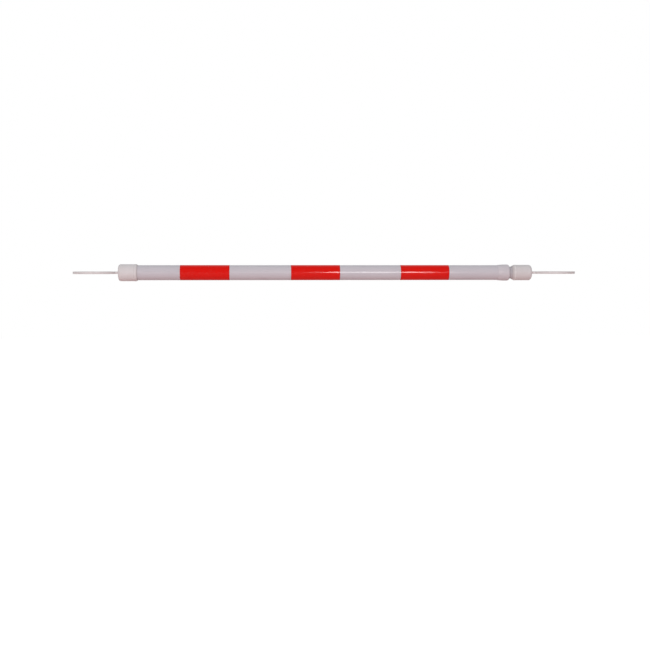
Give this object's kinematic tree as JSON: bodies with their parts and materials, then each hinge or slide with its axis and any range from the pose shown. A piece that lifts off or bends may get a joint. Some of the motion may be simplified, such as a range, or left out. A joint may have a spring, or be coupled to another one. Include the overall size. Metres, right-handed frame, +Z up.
{
  "type": "cone bar",
  "caption": "Telescoping barrier bar of white plastic tube with red reflective bands, moulded end caps and flat ring loops that drop over the tops of traffic cones.",
  "frame": {"origin": "centre of the fixed loop's hole, on the bar's axis, midway through the loop's thickness", "axes": "+X along the bar towards the sliding end, +Z up through the loops' holes, +Y to complete a right-handed frame"},
  "size_m": [1.2865, 0.109, 0.0434],
  "materials": {
    "tube_white": "extruded white PVC, satin",
    "cap_white": "moulded off-white plastic, satin",
    "film_red": "glossy red reflective film",
    "bush_grey": "moulded grey acetal, matt",
    "rubber_black": "black nitrile rubber"
  },
  "bodies": {
    "outer": {"outer_tube": "tube_white", "red_band_1": "film_red", "red_band_2": "film_red", "red_band_3": "film_red", "fixed_end_cap": "cap_white", "fixed_loop": "cap_white", "mouth_collar": "tube_white", "guide_bush": "bush_grey"},
    "drag": {"drag_ring": "rubber_black"},
    "inner": {"inner_tube": "tube_white", "inner_band_1": "film_red", "inner_band_2": "film_red", "inner_band_3": "film_red", "tail_plug": "bush_grey", "sliding_end_cap": "cap_white", "sliding_loop": "cap_white"}
  },
  "joints": [
    {"name": "extension_slide", "type": "slide", "parent": "outer", "child": "drag", "axis": [1, 0, 0], "range_m": [-0.007, 0.828]},
    {"name": "loop_twist", "type": "hinge", "parent": "drag", "child": "inner", "pos_m": [0, 0, 0], "axis": [1, 0, 0], "continuous": true}
  ]
}
